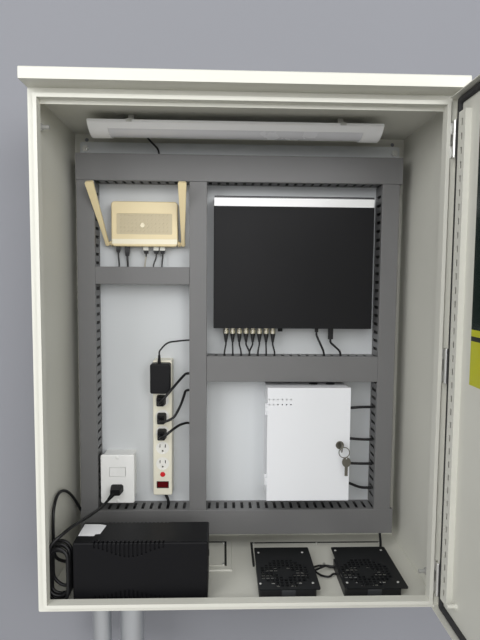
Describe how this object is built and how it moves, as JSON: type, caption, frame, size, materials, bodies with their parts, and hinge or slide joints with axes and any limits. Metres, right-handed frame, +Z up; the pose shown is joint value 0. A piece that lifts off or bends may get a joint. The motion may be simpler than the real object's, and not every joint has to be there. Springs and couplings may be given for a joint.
{
  "type": "roadside utility cabinet",
  "caption": "Wall-mounted sheet steel equipment cabinet with a sloped rain roof, a side-hinged door, slotted wiring ducts and installed network, video and power gear.",
  "frame": {"origin": "centre of the cabinet's back face, midway between its four wall bolt holes", "axes": "+X to the right as one looks into the cabinet, +Y into the wall, +Z up"},
  "size_m": [0.8, 1.097, 1.255],
  "materials": {
    "body_paint": "textured light grey powder coat",
    "plate_paint": "smooth pale grey coat",
    "zinc_steel": "zinc plated",
    "conduit_steel": "galvanised, dull",
    "hub_metal": "die-cast, rough",
    "duct_plastic": "rigid PVC, satin",
    "lamp_shell": "white coat",
    "lamp_diffuser": "opal diffuser, unlit",
    "router_shell": "cream, semi-gloss",
    "recorder_paint": "black coat, satin",
    "recorder_front": "pale, glossy",
    "plug_nickel": "nickel plated",
    "strip_shell": "ivory, semi-gloss",
    "rocker_black": "dark red, glossy",
    "reset_red": "red, semi-gloss",
    "plug_black": "black, fine texture",
    "socket_shell": "white, semi-gloss",
    "ups_shell": "black, fine texture",
    "black_sheath": "black sheath",
    "fan_shell": "black moulding",
    "guard_paint": "black coat",
    "supply_paint": "white coat, satin",
    "unit_metal": "plain folded metal",
    "lock_chrome": "bright plated",
    "hinge_zinc": "zinc plated, bright",
    "gasket_rubber": "foamed, soft"
  },
  "bodies": {
    "cabinet": {"cabinet_body": "body_paint", "rain_roof": "body_paint", "gland_plates": "body_paint", "gland_screws": "zinc_steel", "conduits": "conduit_steel", "conduit_hubs": "hub_metal", "mounting_plate": "plate_paint", "plate_fixings": "zinc_steel", "duct_bases_wide": "duct_plastic", "duct_covers_wide": "duct_plastic", "duct_bases_slim": "duct_plastic", "duct_covers_slim": "duct_plastic", "lamp_housing": "lamp_shell", "lamp_diffuser": "lamp_diffuser", "lamp_end_caps": "lamp_shell", "lamp_clips": "zinc_steel", "lamp_lead": "black_sheath", "router_case": "router_shell", "router_leads": "black_sheath", "recorder_case": "recorder_paint", "recorder_bezel": "recorder_front", "video_plugs": "plug_nickel", "video_leads": "black_sheath", "recorder_leads": "black_sheath", "power_strip": "strip_shell", "strip_plugs": "plug_black", "strip_leads": "black_sheath", "socket_box": "socket_shell", "socket_faceplate": "socket_shell", "ups_case": "ups_shell", "ups_plug": "plug_black", "ups_cord": "black_sheath", "ups_cord_hank": "black_sheath", "strip_feed_cord": "black_sheath", "fan_frames": "fan_shell", "fan_covers": "guard_paint", "fan_leads": "black_sheath", "supply_box": "supply_paint", "supply_unit": "unit_metal", "supply_leads": "black_sheath", "hinge_body_leaves": "hinge_zinc", "hinge_pins": "zinc_steel"},
    "door": {"door_panel": "body_paint", "door_gasket": "gasket_rubber", "door_rails": "body_paint", "hinge_door_leaves": "hinge_zinc"},
    "door_lock_upper": {"door_lock_upper": "lock_chrome"},
    "door_lock_lower": {"door_lock_lower": "lock_chrome"},
    "antenna_swivel_left": {"antenna_knuckle_left": "router_shell"},
    "antenna_paddle_left": {"antenna_left": "router_shell"},
    "antenna_swivel_right": {"antenna_knuckle_right": "router_shell"},
    "antenna_paddle_right": {"antenna_right": "router_shell"},
    "strip_switch": {"strip_rocker": "rocker_black"},
    "strip_reset": {"strip_reset_button": "reset_red"},
    "wall_switch": {"socket_switch": "socket_shell"},
    "ups_push_button": {"ups_button": "ups_shell"},
    "fan_rotor_left": {"fan_impeller_left": "fan_shell"},
    "fan_rotor_right": {"fan_impeller_right": "fan_shell"},
    "supply_door": {"supply_lid": "supply_paint"},
    "supply_cam_lock": {"supply_lock": "lock_chrome"}
  },
  "joints": [
    {"name": "door_hinge", "type": "hinge", "parent": "cabinet", "child": "door", "pos_m": [0.387, -0.313, 0], "axis": [0, 0, 1], "range_deg": [-90, 20]},
    {"name": "door_lock_turn_upper", "type": "hinge", "parent": "door", "child": "door_lock_upper", "pos_m": [0.38, -1.053, 0.3], "axis": [1, 0, 0], "range_deg": [-90, 0]},
    {"name": "door_lock_turn_lower", "type": "hinge", "parent": "door", "child": "door_lock_lower", "pos_m": [0.38, -1.053, -0.3], "axis": [1, 0, 0], "range_deg": [-90, 0]},
    {"name": "antenna_swivel_left_turn", "type": "hinge", "parent": "cabinet", "child": "antenna_swivel_left", "pos_m": [-0.3145, -0.0425, 0.2365], "axis": [1, 0, 0], "range_deg": [0, 55]},
    {"name": "antenna_tilt_left", "type": "hinge", "parent": "antenna_swivel_left", "child": "antenna_paddle_left", "pos_m": [-0.3145, -0.0425, 0.2365], "axis": [0, 0.848, 0.5299], "range_deg": [0, 16]},
    {"name": "antenna_swivel_right_turn", "type": "hinge", "parent": "cabinet", "child": "antenna_swivel_right", "pos_m": [-0.1365, -0.0425, 0.2365], "axis": [1, 0, 0], "range_deg": [-6, 55]},
    {"name": "antenna_tilt_right", "type": "hinge", "parent": "antenna_swivel_right", "child": "antenna_paddle_right", "pos_m": [-0.1365, -0.0425, 0.2365], "axis": [0, 0.848, 0.5299], "range_deg": [-10, 0]},
    {"name": "strip_switch_rock", "type": "hinge", "parent": "cabinet", "child": "strip_switch", "pos_m": [-0.184, -0.063, -0.339], "axis": [0, 0, 1], "range_deg": [0, 10]},
    {"name": "strip_reset_push", "type": "slide", "parent": "cabinet", "child": "strip_reset", "axis": [0, 1, 0], "range_m": [0, 0.002], "stiffness_N_per_m": 300, "springref_m": -0.002},
    {"name": "wall_switch_rock", "type": "hinge", "parent": "cabinet", "child": "wall_switch", "pos_m": [-0.29, -0.072, -0.3035], "axis": [0, 0, 1], "range_deg": [0, 5]},
    {"name": "ups_button_push", "type": "slide", "parent": "cabinet", "child": "ups_push_button", "axis": [-1, 0, 0], "range_m": [0, 0.0015], "stiffness_N_per_m": 300, "springref_m": -0.002},
    {"name": "fan_spin_left", "type": "hinge", "parent": "cabinet", "child": "fan_rotor_left", "pos_m": [0.0955, -0.2105, -0.489], "axis": [0, 0, 1], "continuous": true},
    {"name": "fan_spin_right", "type": "hinge", "parent": "cabinet", "child": "fan_rotor_right", "pos_m": [0.2725, -0.2105, -0.489], "axis": [0, 0, 1], "continuous": true},
    {"name": "supply_lid_hinge", "type": "hinge", "parent": "cabinet", "child": "supply_door", "pos_m": [0.059, -0.112, -0.225], "axis": [0, 0, 1], "range_deg": [-125, 0]},
    {"name": "supply_lock_turn", "type": "hinge", "parent": "supply_door", "child": "supply_cam_lock", "pos_m": [0.231, -0.116, -0.226], "axis": [0, 1, 0], "range_deg": [-90, 0]}
  ]
}
